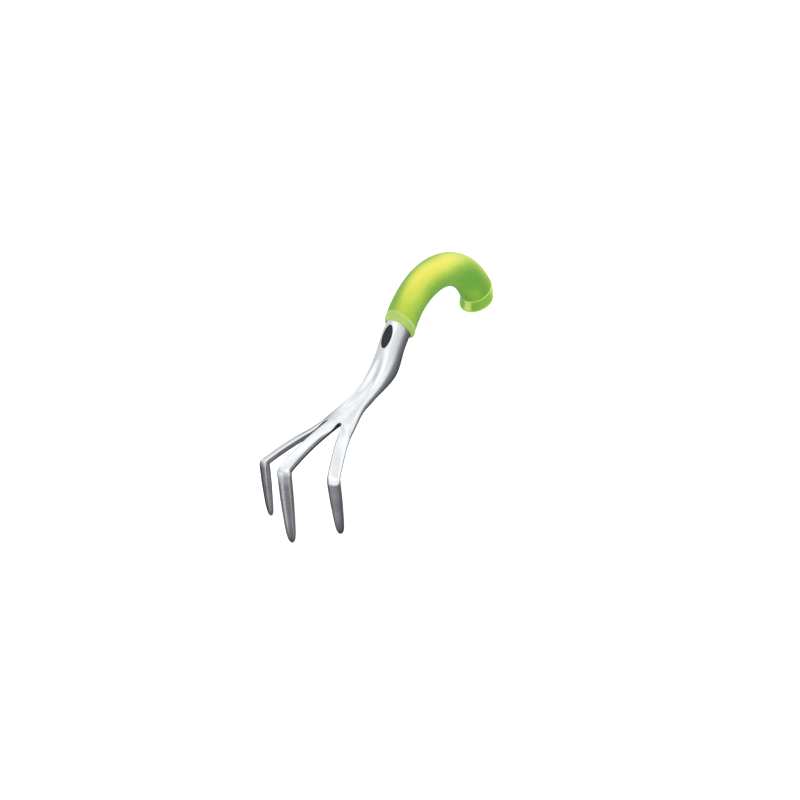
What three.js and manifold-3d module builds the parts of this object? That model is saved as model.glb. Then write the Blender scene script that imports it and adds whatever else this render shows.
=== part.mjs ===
// Three-tined hand cultivator with a hooked soft grip.
// Millimetres, +Z up. The tool stands the way it is set down: on its three tine tips and on the flat
// face of its grip's end cap. The handle is at +X, the tines are at -X, and the tool is symmetric about
// the XZ plane. The origin is the middle of the footprint, on the floor.
// Profiles are written as [forward, height] pairs: "forward" runs from the end cap towards the tines,
// so X = X_ORIGIN - forward.
import * as THREE from "three";
import { mergeVertices } from "three/addons/utils/BufferGeometryUtils.js";
import Module from "manifold-3d";

const wasm = await Module();
wasm.setup();

// ---------------------------------------------------------------- driving dimensions
const X_ORIGIN = 144.5; // forward distance from the end cap's axis to the origin
const GAP = 0.3; // between touching pieces

// grip
const ARC_F = 59.4; // centre of the grip's bend: forward,
const ARC_Z = 8.7; // and height
const ARC_R = 63.9; // bend radius of the grip's centreline
const GRIP_R = 14.6; // outer radius of the sleeve
const GRIP_SWELL = 0.5; // extra radius at the palm swell
const SLEEVE_BORE = 11.8;
const CORE_R = 11.5;
const CORE_FROM = 65; // degrees on the bend
const CORE_TO = 175.5;
const CREASE_AT = 57.9; // degrees on the bend where the sleeve meets the front collar
const RIM_SLANT = 4; // slope of the rim planes' normal below level, degrees
const COLLAR_LENGTH = 5.3;
const RIM_LEAN = 0.17; // further slope of the rim against the crease // along the grip's axis
const CAP_HEIGHT = 10.9; // of the seam over the floor, on the grip's axis
const CAP_TILT = 8; // the seam's plane drops towards the tines, degrees
// end cap from its seam down: height, forward shift of the centre, radius
const CAP = [
  [10.9, -4.9, 15.0],
  [8.6, -4.6, 14.95],
  [6.4, -3.9, 15.0],
  [4.4, -2.8, 15.15],
  [2.8, -1.6, 15.4],
  [1.5, -0.8, 15.55],
  [0.5, -0.6, 15.45],
  [0.1, -0.6, 15.15],
  [0, -0.6, 14.75],
];

// tang: the flat tail of the casting inside the core
const TANG_W = 8.0; // across, along Y
const TANG_H = 12.0; // in the plane of the bend
const TANG_TO = 160; // degrees on the bend
const TANG_HOLES = [84, 138];
const TANG_HOLE_R = 2.4;
const BOSS_R = 2.0;

// neck of the casting, station by station:
// forward, height of the section's centre, half width, above, below, top exponent, bottom exponent,
// crown (how far the middle stands over the edges), depth of the channel along the top
const NECK = [
  [93.94, 63.76, 11.0, 12.6, 11.6, 2.2, 2.2, 0, 0],
  [101.14, 59.25, 11.0, 12.6, 11.6, 2.2, 2.2, 0, 0],
  [104.5, 57.4, 11.0, 13.1, 11.4, 2.25, 2.2, 0, 0],
  [111.4, 53.5, 11.0, 13.6, 11.2, 2.3, 2.2, 0, 0],
  [119.5, 49.2, 10.9, 12.6, 13.8, 2.4, 2.1, 0, 0.2],
  [130.1, 45.1, 10.7, 11.0, 16.6, 2.6, 2.0, 0, 0.9],
  [140.9, 42.6, 10.5, 9.2, 13.2, 2.8, 2.0, 0, 1.1],
  [151.6, 41.6, 10.2, 7.6, 9.4, 3.0, 2.1, 0, 1.1],
  [162.2, 41.9, 9.9, 6.4, 7.3, 3.2, 2.3, 0, 1.0],
  [172.9, 43.3, 10.2, 5.4, 6.5, 3.4, 2.6, 0.1, 0.9],
  [183.5, 44.8, 11.7, 4.4, 5.3, 3.7, 3.2, 1.0, 0.7],
  [194.2, 45.4, 14.2, 3.7, 4.1, 4.2, 4.0, 3.2, 0.4],
  [204.9, 45.4, 16.9, 3.2, 3.1, 5.0, 5.0, 6.3, 0.1],
  [210.2, 45.8, 18.2, 3.0, 2.8, 5.0, 5.0, 7.4, 0],
];
const NECK_AT = [
  94.24, 101.14, 104, 107.5, 111.5, 115.5, 119.5, 123.5, 127.5, 132, 136.5, 142, 148, 154.5, 161.5,
  169, 176.5, 184, 191, 198, 204.5, 210.2,
];

// tines: centre of the section as [forward, out, height]; the last but one point is the knuckle
const TINE_W = 5.75; // half width of the side tines
const MID_W = 6.8; // half width of the middle tine
const TINE_T = 2.75; // half thickness
const KNUCKLE_R = 4.2; // bend radius on the centreline
const MID_TINE = [
  [210.2, 0, 53.0],
  [225, 0, 57.0],
  [241.4, 0, 61.1],
  [258, 0, 64.2],
  [273, 0, 66.0],
  [283.9, 0, 66.8],
  [307.6, 0, 0.06],
];
const SIDE_TINE = [
  [210.2, 13.1, 48.3],
  [221.5, 17.0, 49.4],
  [235.5, 23.0, 51.0],
  [249.5, 29.2, 51.6],
  [260.8, 34.1, 51.4],
  [268.0, 37.3, 51.0],
  [284.9, 38.3, 0.06],
];
const SIDE_ROLL = 24; // outward roll of the side tines' top faces, degrees
const MID_EDGE = 5.6; // edge of the middle tine in the fork's root
const SLOT_W = 3.0; // width of a slot at its closed end
const MORPH = 13; // length over which the root's section becomes the tine's own
// how the point tapers: share of its length, share of width, of thickness in front and behind
const POINT = [
  [0, 1.03, 1.75, 1.1],
  [0.3, 0.98, 1.7, 1.1],
  [0.55, 0.87, 1.5, 1.0],
  [0.77, 0.75, 1.25, 0.9],
  [0.88, 0.65, 1.0, 0.8],
  [0.95, 0.5, 0.72, 0.62],
  [0.985, 0.3, 0.42, 0.4],
  [1, 0.1, 0.14, 0.14],
];
const POINT_EDGE = 2.9; // squareness of the point's front, where the tine's top is 4.2

// badge let into the top of the neck
const BADGE_AT = 107.3; // forward, on the neck's centreline
const BADGE_L = 22;
const BADGE_W = 9.5;
const POCKET_DEPTH = 2.5;
const ADHESIVE_T = 0.3;
const BADGE_T = 1.0;

// mesh steps
const TINE_COLS = 4;
const SLOT_COLS = 2;
const SIDE_ROWS = 4;

// ---------------------------------------------------------------- small tools
const rad = (d) => (d * Math.PI) / 180;
const V = (f, y, z) => new THREE.Vector3(X_ORIGIN - f, y, z);

// Smooth interpolation through a table that never overshoots.
function pchip(xs, ys) {
  const n = xs.length,
    h = [],
    d = [],
    m = new Array(n).fill(0);
  for (let i = 0; i < n - 1; i++) {
    h.push(xs[i + 1] - xs[i]);
    d.push((ys[i + 1] - ys[i]) / h[i]);
  }
  for (let i = 1; i < n - 1; i++)
    if (d[i - 1] * d[i] > 0) {
      const a = 2 * h[i] + h[i - 1],
        b = h[i] + 2 * h[i - 1];
      m[i] = (a + b) / (a / d[i - 1] + b / d[i]);
    }
  m[0] = d[0];
  m[n - 1] = d[n - 2];
  return (x) => {
    let i = 0;
    while (i < n - 2 && x > xs[i + 1]) i++;
    const t = (x - xs[i]) / h[i],
      t2 = t * t,
      t3 = t2 * t;
    return (
      ys[i] * (2 * t3 - 3 * t2 + 1) +
      h[i] * m[i] * (t3 - 2 * t2 + t) +
      ys[i + 1] * (3 * t2 - 2 * t3) +
      h[i] * m[i + 1] * (t3 - t2)
    );
  };
}
const column = (table, i) => pchip(table.map((r) => r[0]), table.map((r) => r[i]));
const smooth = (t) => {
  t = Math.min(1, Math.max(0, t));
  return t * t * (3 - 2 * t);
};

// A mesh from points and faces of any number of corners, turned to face out.
function solid(points, faces) {
  const tri = [];
  for (const f of faces) for (let i = 1; i < f.length - 1; i++) tri.push(f[0], f[i], f[i + 1]);
  let volume = 0;
  for (let i = 0; i < tri.length; i += 3)
    volume += points[tri[i]].dot(points[tri[i + 1]].clone().cross(points[tri[i + 2]]));
  if (volume < 0)
    for (let i = 0; i < tri.length; i += 3) [tri[i + 1], tri[i + 2]] = [tri[i + 2], tri[i + 1]];
  const g = new THREE.BufferGeometry();
  g.setAttribute("position", new THREE.Float32BufferAttribute(points.flatMap((p) => [p.x, p.y, p.z]), 3));
  g.setIndex(tri);
  return g;
}

// A closed body through rings with the same number of points; flat holds the section in two
// dimensions where it isn't convex, so that its ends can be filled.
function loft(rings, flat) {
  const n = rings[0].length,
    points = rings.flat(),
    faces = [];
  for (let r = 0; r + 1 < rings.length; r++)
    for (let i = 0; i < n; i++) {
      const j = (i + 1) % n;
      faces.push([r * n + i, r * n + j, (r + 1) * n + j, (r + 1) * n + i]);
    }
  const last = (rings.length - 1) * n;
  if (flat)
    for (const t of THREE.ShapeUtils.triangulateShape(flat, [])) {
      faces.push([t[0], t[2], t[1]]);
      faces.push([last + t[0], last + t[1], last + t[2]]);
    }
  else {
    const middle = (ring) => ring.reduce((s, p) => s.add(p), new THREE.Vector3()).divideScalar(n);
    points.push(middle(rings[0]), middle(rings[rings.length - 1]));
    for (let i = 0; i < n; i++) {
      const j = (i + 1) % n;
      faces.push([points.length - 2, j, i]);
      faces.push([points.length - 1, last + i, last + j]);
    }
  }
  const g = solid(points, faces);
  const a = flat && THREE.ShapeUtils.area(flat);
  return a !== undefined && a < 0 ? loftFlipped(rings, flat) : g;
}
function loftFlipped(rings, flat) {
  return loft(
    rings.map((r) => [...r].reverse()),
    [...flat].reverse(),
  );
}

// A pipe: the outer rings, then the inner rings back again.
function pipe(outer, inner) {
  const n = outer[0].length,
    rings = [...outer, ...[...inner].reverse()],
    points = rings.flat(),
    faces = [];
  for (let r = 0; r < rings.length; r++) {
    const s = (r + 1) % rings.length;
    for (let i = 0; i < n; i++) {
      const j = (i + 1) % n;
      faces.push([r * n + i, r * n + j, s * n + j, s * n + i]);
    }
  }
  return solid(points, faces);
}

function manifold(geometry) {
  const g = geometry.clone();
  for (const name of Object.keys(g.attributes)) if (name !== "position") g.deleteAttribute(name);
  const m = mergeVertices(g, 1e-4);
  return new wasm.Manifold(
    new wasm.Mesh({
      numProp: 3,
      vertProperties: new Float32Array(m.attributes.position.array),
      triVerts: new Uint32Array(m.index.array),
    }),
  );
}
function geometry(body) {
  const m = body.getMesh(),
    g = new THREE.BufferGeometry();
  g.setAttribute("position", new THREE.Float32BufferAttribute(m.vertProperties, 3));
  g.setIndex(Array.from(m.triVerts));
  g.computeVertexNormals();
  return g;
}

const RIM_F = 101.14; // forward of the collar's rim, on the neck's centreline

// ---------------------------------------------------------------- the grip's bend
// Frame at an angle of the bend: centre, outward normal and forward tangent, in [forward, height].
// Past 180 degrees the centreline runs straight down to the floor.
function bend(deg) {
  const t = rad(Math.min(deg, 180)),
    drop = Math.max(0, rad(deg - 180) * ARC_R);
  return {
    f: ARC_F + ARC_R * Math.cos(t),
    z: ARC_Z + ARC_R * Math.sin(t) - drop,
    nf: Math.cos(t),
    nz: Math.sin(t),
    tf: Math.sin(t),
    tz: -Math.cos(t),
  };
}
// A circle (or an oval) around the bend; slide moves each point along the bend's tangent.
function circle(b, r, n, slide = () => 0) {
  const ring = [];
  for (let i = 0; i < n; i++) {
    const a = (2 * Math.PI * i) / n,
      x = r * Math.cos(a),
      y = r * Math.sin(a),
      s = slide(x);
    ring.push(V(b.f + b.nf * x + b.tf * s, y, b.z + b.nz * x + b.tz * s));
  }
  return ring;
}
const CREASE = bend(CREASE_AT);
const RIM_N = [Math.cos(rad(RIM_SLANT)), -Math.sin(rad(RIM_SLANT))];
// How far a point at height x over the axis slides along the tangent to reach the slanted plane.
const slantOf = (b) => {
  const across = b.nf * RIM_N[0] + b.nz * RIM_N[1],
    along = b.tf * RIM_N[0] + b.tz * RIM_N[1];
  return -across / along;
};
const SLANT = slantOf(CREASE);
const gripRadius = pchip([50, 75, 105, 135, 160, 190], [0, 0.1, 1.2, 1.2, 0.9, 0.8].map((k) => GRIP_R + k * GRIP_SWELL));

// height of the seam's plane under or over a point
const seam = (p) => CAP_HEIGHT - (X_ORIGIN - p.x - bend(180).f) * Math.tan(rad(CAP_TILT));

function sleeve() {
  const n = 24,
    at = [180, 173.5, 165, 155, 146, 137, 128, 119, 110, 101, 92, 83, 76, 70, 65.5, 62, CREASE_AT];
  const outer = [],
    inner = [];
  // the lower end follows the tilted seam, just above the end cap
  const low = bend(180);
  const level = (b, r) => circle(b, r, n).map((p) => p.setZ(seam(p) + GAP));
  outer.push(level(low, gripRadius(180)));
  inner.push(level(low, SLEEVE_BORE));
  for (const a of at.slice(1)) {
    const b = bend(a),
      k = smooth((72 - a) / (72 - CREASE_AT));
    const slide = (x) => x * SLANT * k;
    outer.push(circle(b, gripRadius(a), n, slide));
    inner.push(circle(b, SLEEVE_BORE, n, slide));
  }
  return pipe(outer, inner);
}

// The neck's oval at the crease, used for the collar's hole: half width, above and below, and the offset
// of its centre from the bend's axis.
const OVAL = { w: 11.0, a: 12.6, b: 11.6, up: 0.9, p: 2.2 };
function oval(b, grow, n, slide) {
  const ring = [];
  for (let i = 0; i < n; i++) {
    const t = (2 * Math.PI * i) / n,
      c = Math.cos(t),
      q = Math.sin(t),
      e = 2 / OVAL.p,
      x = OVAL.up + (c > 0 ? OVAL.a + grow : OVAL.b + grow) * Math.sign(c) * Math.pow(Math.abs(c), e),
      y = (OVAL.w + grow) * Math.sign(q) * Math.pow(Math.abs(q), e),
      s = slide(x);
    ring.push(V(b.f + b.nf * x + b.tf * s, y, b.z + b.nz * x + b.tz * s));
  }
  return ring;
}

function collar() {
  const n = 32,
    from = GAP,
    nose = 1.6,
    to = COLLAR_LENGTH;
  // the rim leans more than the crease: the collar is longest over the badge
  const at = (s) => (x) => x * (SLANT + (RIM_LEAN * (s - from)) / (to - from)) + s;
  const hole = (s) => oval(CREASE, GAP, n, at(s));
  const outer = [],
    inner = [];
  // the outside follows the grip, then rounds over to the rim
  for (const q of [0, 1]) {
    const s = from + (nose - from) * q;
    outer.push(circle(CREASE, GRIP_R + 0.1 * Math.sin(Math.PI * q), n, at(s)));
    inner.push(hole(s));
  }
  for (const q of [22, 42, 60, 76]) {
    const s = nose + (to - nose) * Math.sin(rad(q)),
      k = 1 - Math.cos(rad(q)),
      rim = hole(s);
    outer.push(circle(CREASE, GRIP_R, n, at(s)).map((p, i) => p.lerp(rim[i], k)));
    inner.push(rim);
  }
  return pipe(outer, inner);
}

function endCap() {
  const n = 32,
    axis = bend(180);
  const ring = (z, f, r, tilt) =>
    Array.from({ length: n }, (_, i) => {
      const a = (2 * Math.PI * i) / n,
        p = V(f + r * Math.cos(a), r * Math.sin(a), z);
      if (tilt) p.z += (seam(p) - CAP_HEIGHT) * tilt;
      return p;
    });
  const rings = CAP.map(([z, f, r], i) => ring(z, f, r, i === 0 ? 1 : i === 1 ? 0.75 : i === 2 ? 0.4 : 0)).reverse();
  // the spigot that centres it in the core
  rings.push(ring(CAP_HEIGHT, axis.f, 10.5, 1));
  rings.push(ring(CAP_HEIGHT, axis.f, 3.8, 1));
  rings.push(ring(CAP_HEIGHT + 6.5, axis.f, 3.6, 0));
  return loft(rings);
}

// A half of the rigid core, side = 1 or -1 for +Y or -Y.
function coreHalf(side) {
  const flat = [],
    y0 = 0.15,
    ch = TANG_H / 2 + 0.4,
    cw = TANG_W / 2 + 0.4,
    n = 12;
  const a0 = Math.asin(y0 / CORE_R);
  for (let i = 0; i <= n; i++) {
    const a = a0 + ((Math.PI - 2 * a0) * i) / n;
    flat.push(new THREE.Vector2(CORE_R * Math.cos(a), CORE_R * Math.sin(a)));
  }
  flat.push(new THREE.Vector2(-ch, y0), new THREE.Vector2(-ch, cw), new THREE.Vector2(ch, cw), new THREE.Vector2(ch, y0));
  const rings = [];
  for (let i = 0; i <= 14; i++) {
    const b = bend(CORE_FROM + ((CORE_TO - CORE_FROM) * i) / 14);
    rings.push(flat.map((p) => V(b.f + b.nf * p.x, side * p.y, b.z + b.nz * p.x)));
  }
  let body = manifold(loft(rings, flat));
  if (side > 0)
    for (const a of TANG_HOLES) {
      const b = bend(a),
        from = cw + 0.8,
        to = -(cw - GAP);
      const g = new THREE.CylinderGeometry(BOSS_R, BOSS_R, from - to, 16);
      const m = V(b.f, (from + to) / 2, b.z);
      g.translate(m.x, m.y, m.z);
      body = body.add(manifold(g));
    }
  return geometry(body);
}

// ---------------------------------------------------------------- the casting
const neck = {
  z: column(NECK, 1),
  w: column(NECK, 2),
  a: column(NECK, 3),
  b: column(NECK, 4),
  pt: column(NECK, 5),
  pb: column(NECK, 6),
  crown: column(NECK, 7),
  channel: column(NECK, 8),
};
function neckFrame(f) {
  if (f <= RIM_F) {
    const s = (f - CREASE.f - CREASE.nf * OVAL.up) / CREASE.tf;
    return { ...CREASE, f, z: CREASE.z + CREASE.nz * OVAL.up + CREASE.tz * s };
  }
  const e = 0.5,
    s = (neck.z(f + e) - neck.z(f - e)) / (2 * e),
    l = Math.hypot(1, s);
  return { f, z: neck.z(f), nf: -s / l, nz: 1 / l, tf: 1 / l, tz: s / l };
}
const ROOT = NECK[NECK.length - 1],
  ROOT_CORNER = ROOT[2] * Math.pow(2, -1 / ROOT[5]);
// share of the half width between corners at which each column stands
const SHARES = (() => {
  const s = [],
    m = MID_EDGE / ROOT_CORNER,
    o = (MID_EDGE + SLOT_W) / ROOT_CORNER;
  for (let i = 0; i <= TINE_COLS; i++) s.push(-1 + ((1 - o) * i) / TINE_COLS);
  for (let i = 1; i <= SLOT_COLS; i++) s.push(-o + ((o - m) * i) / SLOT_COLS);
  for (let i = 1; i <= TINE_COLS; i++) s.push(-m + (2 * m * i) / TINE_COLS);
  for (let i = 1; i <= SLOT_COLS; i++) s.push(m + ((o - m) * i) / SLOT_COLS);
  for (let i = 1; i <= TINE_COLS; i++) s.push(o + ((1 - o) * i) / TINE_COLS);
  return s;
})();

// The section as { top, bottom, right, left }: lists of [across, up].
function section(w, a, b, pt, pb, shares, channel = 0) {
  const kt = Math.pow(2, -1 / pt),
    kb = Math.pow(2, -1 / pb);
  const top = shares.map((s) => {
    const y = kt * w * s,
      c = Math.min(1, Math.abs(y) / (0.7 * w));
    return [y, a * Math.pow(1 - Math.pow(Math.abs(y / w), pt), 1 / pt) - channel * (1 - c * c) * (1 - c * c)];
  });
  const bottom = shares.map((s) => {
    const y = kb * w * s;
    return [y, -b * Math.pow(1 - Math.pow(Math.abs(y / w), pb), 1 / pb)];
  });
  const right = [];
  for (let i = 1; i < SIDE_ROWS; i++) {
    const z = kt * a + ((-kb * b - kt * a) * i) / SIDE_ROWS,
      p = z > 0 ? pt : pb,
      h = z > 0 ? a : b;
    right.push([w * Math.pow(1 - Math.pow(Math.abs(z / h), p), 1 / p), z]);
  }
  return { top, bottom, right, left: right.map(([y, z]) => [-y, z]) };
}

function head() {
  const points = [],
    faces = [];
  const add = (p) => points.push(p) - 1;
  const n = SHARES.length;
  const strip = (r0, r1) => {
    for (let i = 0; i < r0.length; i++) {
      const j = (i + 1) % r0.length;
      faces.push([r0[i], r0[j], r1[j], r1[i]]);
    }
  };
  const loop = (s) => [...s.top, ...s.right, ...[...s.bottom].reverse(), ...[...s.left].reverse()];

  // neck rings; the first ones lie on planes parallel to the collar's rim
  let previous = null,
    fork = null;
  NECK_AT.forEach((f, k) => {
    const b = neckFrame(f),
      w = neck.w(f),
      crown = neck.crown(f);
    const s = section(w, neck.a(f), neck.b(f), neck.pt(f), neck.pb(f), SHARES, neck.channel(f));
    const slide = SLANT * (1 - smooth((f - RIM_F) / 22)),
      up = f <= RIM_F ? OVAL.up : 0;
    const place = ([y, z], back = 0) => {
      const h = z + crown * (1 - (y / w) * (y / w)),
        t = (h + up) * slide - back;
      return add(V(b.f + b.nf * h + b.tf * t, y, b.z + b.nz * h + b.tz * t));
    };
    const closed = k === NECK_AT.length - 1;
    // the middle of each slot's closed end stands back, so that it is round
    const slotMiddle = (i) =>
      closed && (i === TINE_COLS + 1 || i === n - 2 - TINE_COLS) ? 0.8 : 0;
    const ring = {
      top: s.top.map((p, i) => place(p, slotMiddle(i))),
      bottom: s.bottom.map((p, i) => place(p, slotMiddle(i))),
      right: s.right.map((p) => place(p)),
      left: s.left.map((p) => place(p)),
    };
    if (previous) strip(loop(previous), loop(ring));
    else {
      const l = loop(ring),
        c = add(l.reduce((v, i) => v.add(points[i]), new THREE.Vector3()).divideScalar(l.length));
      for (let i = 0; i < l.length; i++) faces.push([c, l[(i + 1) % l.length], l[i]]);
    }
    previous = ring;
    fork = ring;
  });

  // walls at the closed ends of the slots
  const L1 = TINE_COLS,
    L2 = TINE_COLS + SLOT_COLS,
    R1 = L2 + TINE_COLS,
    R2 = R1 + SLOT_COLS;
  const wall = (c) => {
    const rows = [];
    for (let i = 1; i < SIDE_ROWS; i++)
      rows.push(add(points[fork.top[c]].clone().lerp(points[fork.bottom[c]], i / SIDE_ROWS)));
    return rows;
  };
  const gaps = {};
  for (const c0 of [L1, R1]) {
    const cols = [];
    for (let c = c0; c <= c0 + SLOT_COLS; c++) cols.push([fork.top[c], ...(gaps[c] = wall(c)), fork.bottom[c]]);
    for (let i = 0; i < SLOT_COLS; i++)
      for (let j = 0; j < SIDE_ROWS; j++) faces.push([cols[i][j], cols[i + 1][j], cols[i + 1][j + 1], cols[i][j + 1]]);
  }

  // tines
  const shares = Array.from({ length: TINE_COLS + 1 }, (_, i) => -1 + (2 * i) / TINE_COLS);
  function tine(path, mirror, start) {
    const pts = path.map(([f, o, z]) => V(f, mirror * o, z));
    const knuckle = pts[pts.length - 2],
      tip = pts[pts.length - 1];
    const before = pts.slice(0, -1);
    const curve = new THREE.CatmullRomCurve3(before, false, "centripetal");
    const t1 = curve.getTangent(1),
      t2 = tip.clone().sub(knuckle).normalize();
    const turn = t1.angleTo(t2),
      cut = KNUCKLE_R * Math.tan(turn / 2);
    const length = curve.getLength();
    // stations: position, tangent, share of the point's length (0 before the knuckle)
    const stations = [];
    const straight = length - cut;
    const steps = 12;
    for (let i = 1; i <= steps; i++) {
      const s = (straight * Math.pow(i / steps, 1.25));
      const u = s / length;
      stations.push({ p: curve.getPointAt(u), t: curve.getTangentAt(u), s, k: 0, grow: 0 });
    }
    const e1 = knuckle.clone().addScaledVector(t1, -cut),
      axis = t1.clone().cross(t2).normalize(),
      inward = axis.clone().cross(t1);
    const centre = e1.clone().addScaledVector(inward, KNUCKLE_R);
    for (let i = 1; i <= 5; i++) {
      const a = (turn * i) / 5;
      stations.push({
        p: centre.clone().add(inward.clone().multiplyScalar(-KNUCKLE_R).applyAxisAngle(axis, a)),
        t: t1.clone().applyAxisAngle(axis, a),
        s: length,
        k: 0,
        grow: smooth(i / 5),
      });
    }
    const e2 = knuckle.clone().addScaledVector(t2, cut),
      pointLength = tip.distanceTo(e2);
    for (const k of [0.1, 0.25, 0.4, 0.55, 0.68, 0.79, 0.88, 0.94, 0.975, 0.995])
      stations.push({ p: e2.clone().addScaledVector(t2, pointLength * k), t: t2, s: length, k, grow: 1 });
    const kw = column(POINT, 1),
      front = column(POINT, 2),
      behind = column(POINT, 3);
    let previousLoop = start.loop;
    const across0 = points[start.loop[TINE_COLS]].clone().sub(points[start.loop[0]]).normalize();
    const roll = rad(path === MID_TINE ? 0 : SIDE_ROLL),
      width = path === MID_TINE ? MID_W : TINE_W;
    const out = new THREE.Vector3(t1.y, -t1.x, 0).normalize(); // level, square to the tine
    if (out.dot(across0) < 0) out.negate();
    const across1 = out
      .clone()
      .multiplyScalar(Math.cos(roll))
      .add(new THREE.Vector3(0, 0, -Math.sign(out.y * mirror) * Math.sin(roll) * (path === MID_TINE ? 0 : 1)));
    for (const st of stations) {
      const m = smooth(st.s / MORPH),
        r = smooth(st.s / (2.2 * MORPH));
      const across = across0.clone().lerp(across1, r);
      across.addScaledVector(st.t, -across.dot(st.t)).normalize();
      const up = st.t.clone().cross(across).normalize();
      if (st === stations[0]) start.flip = up.z < 0;
      if (start.flip) up.negate();
      const g = (v) => 1 + (v - 1) * st.grow;
      const sec = section(
        width * g(kw(st.k)),
        TINE_T * g(front(st.k)),
        TINE_T * g(behind(st.k)),
        4.2 + (POINT_EDGE - 4.2) * st.grow,
        3.6,
        shares,
      );
      const own = [...sec.top, ...sec.right, ...[...sec.bottom].reverse(), ...[...sec.left].reverse()];
      const shift = st.p.clone().sub(pts[0]);
      const ids = own.map(([y, z], i) => {
        const own3 = st.p.clone().addScaledVector(across, y).addScaledVector(up, z);
        const slab = points[start.loop[i]].clone().add(shift);
        return add(slab.lerp(own3, m));
      });
      strip(previousLoop, ids);
      previousLoop = ids;
    }
    const end = add(tip.clone());
    for (let i = 0; i < previousLoop.length; i++)
      faces.push([previousLoop[i], previousLoop[(i + 1) % previousLoop.length], end]);
  }
  const part = (c0, right, left) => [
    ...fork.top.slice(c0, c0 + TINE_COLS + 1),
    ...right,
    ...fork.bottom.slice(c0, c0 + TINE_COLS + 1).reverse(),
    ...[...left].reverse(),
  ];
  tine(SIDE_TINE, -1, { loop: part(0, gaps[L1], fork.left) });
  tine(MID_TINE, 1, { loop: part(L2, gaps[R1], gaps[L2]) });
  tine(SIDE_TINE, 1, { loop: part(R2, fork.right, gaps[R2]) });
  return solid(points, faces);
}

// The tail: a collar seat inside the grip, then a flat tang round the bend.
function tail() {
  const n = 24,
    seat = [];
  seat.push(circle(bend(CORE_FROM - 0.6), 10.3, n));
  seat.push(circle(CREASE, 10.3, n, (x) => x * SLANT));
  seat.push(circle(CREASE, 10.3, n, (x) => x * SLANT + 3));
  const rings = [];
  for (let i = 0; i <= 16; i++) {
    const b = bend(CORE_FROM - 4 + ((TANG_TO - CORE_FROM + 4) * i) / 16),
      k = i === 16 ? 0.8 : 1,
      h = (TANG_H / 2) * k,
      w = (TANG_W / 2) * k,
      c = 1.2;
    rings.push(
      [
        [h, w - c], [h - c, w], [-h + c, w], [-h, w - c],
        [-h, -w + c], [-h + c, -w], [h - c, -w], [h, -w + c],
      ].map(([x, y]) => V(b.f + b.nf * x, y, b.z + b.nz * x)),
    );
  }
  let body = manifold(loft(rings)).add(manifold(loft(seat)));
  for (const a of TANG_HOLES) {
    const b = bend(a),
      g = new THREE.CylinderGeometry(TANG_HOLE_R, TANG_HOLE_R, TANG_W + 4, 16),
      m = V(b.f, 0, b.z);
    g.translate(m.x, m.y, m.z);
    body = body.subtract(manifold(g));
  }
  return body;
}

// An oval prism standing on the neck's top where the badge sits, between two depths under the crown.
function ovalPrism(length, width, from, to, n = 32) {
  const b = neckFrame(BADGE_AT),
    top = neck.a(BADGE_AT),
    rings = [];
  for (const d of [from, to]) {
    const ring = [];
    for (let i = 0; i < n; i++) {
      const a = (2 * Math.PI * i) / n,
        t = (length / 2) * Math.cos(a),
        y = (width / 2) * Math.sin(a),
        h = top - d;
      ring.push(V(b.f + b.nf * h + b.tf * t, y, b.z + b.nz * h + b.tz * t));
    }
    rings.push(ring);
  }
  return loft(rings);
}

// ---------------------------------------------------------------- assembly
const casting = manifold(head())
  .add(tail())
  .subtract(manifold(ovalPrism(BADGE_L, BADGE_W, -4, POCKET_DEPTH)));

const pieces = [
  ["cultivator_head", geometry(casting), 0xd3d8dc, 0.22, 1.0],
  [
    "badge_adhesive",
    ovalPrism(BADGE_L - 1.4, BADGE_W - 1.4, POCKET_DEPTH - GAP / 3 - ADHESIVE_T, POCKET_DEPTH - GAP / 3),
    0xe8e6de,
    0.8,
    0,
  ],
  [
    "badge_plate",
    ovalPrism(
      BADGE_L - 2 * GAP,
      BADGE_W - 2 * GAP,
      POCKET_DEPTH - (2 * GAP) / 3 - ADHESIVE_T - BADGE_T,
      POCKET_DEPTH - (2 * GAP) / 3 - ADHESIVE_T,
    ),
    0x34383c,
    0.45,
    0.1,
  ],
  ["core_left", coreHalf(-1), 0xe9ecd8, 0.6, 0],
  ["core_right", coreHalf(1), 0xe9ecd8, 0.6, 0],
  ["grip_sleeve", sleeve(), 0x8fc63a, 0.42, 0],
  ["front_collar", collar(), 0xa9cf62, 0.35, 0],
  ["end_cap", endCap(), 0xb4d86c, 0.35, 0],
];

const tool = new THREE.Group();
tool.name = "hand_cultivator";
for (const [name, shape, color, roughness, metalness] of pieces) {
  shape.computeVertexNormals();
  const mesh = new THREE.Mesh(shape, new THREE.MeshStandardMaterial({ color, roughness, metalness }));
  mesh.name = name;
  tool.add(mesh);
}
export default tool;
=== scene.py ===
import math

import bmesh
import bpy
import numpy as np
from mathutils import Matrix, Vector


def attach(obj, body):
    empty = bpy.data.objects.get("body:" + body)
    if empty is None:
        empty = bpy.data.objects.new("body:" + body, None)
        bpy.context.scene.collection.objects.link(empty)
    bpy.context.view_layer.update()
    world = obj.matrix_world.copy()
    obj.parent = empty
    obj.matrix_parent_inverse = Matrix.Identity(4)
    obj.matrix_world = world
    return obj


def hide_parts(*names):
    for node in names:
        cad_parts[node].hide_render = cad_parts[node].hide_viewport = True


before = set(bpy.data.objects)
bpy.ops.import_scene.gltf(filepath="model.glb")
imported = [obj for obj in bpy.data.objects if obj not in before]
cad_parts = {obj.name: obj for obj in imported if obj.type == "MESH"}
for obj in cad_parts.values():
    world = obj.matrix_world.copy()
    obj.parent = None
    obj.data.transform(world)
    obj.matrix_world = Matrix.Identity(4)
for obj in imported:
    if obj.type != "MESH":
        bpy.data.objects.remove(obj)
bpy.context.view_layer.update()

# ------------------------------------------------------------------ dimensions, mm, as in the CAD part
X_ORIGIN = 144.5
GAP = 0.3
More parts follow.
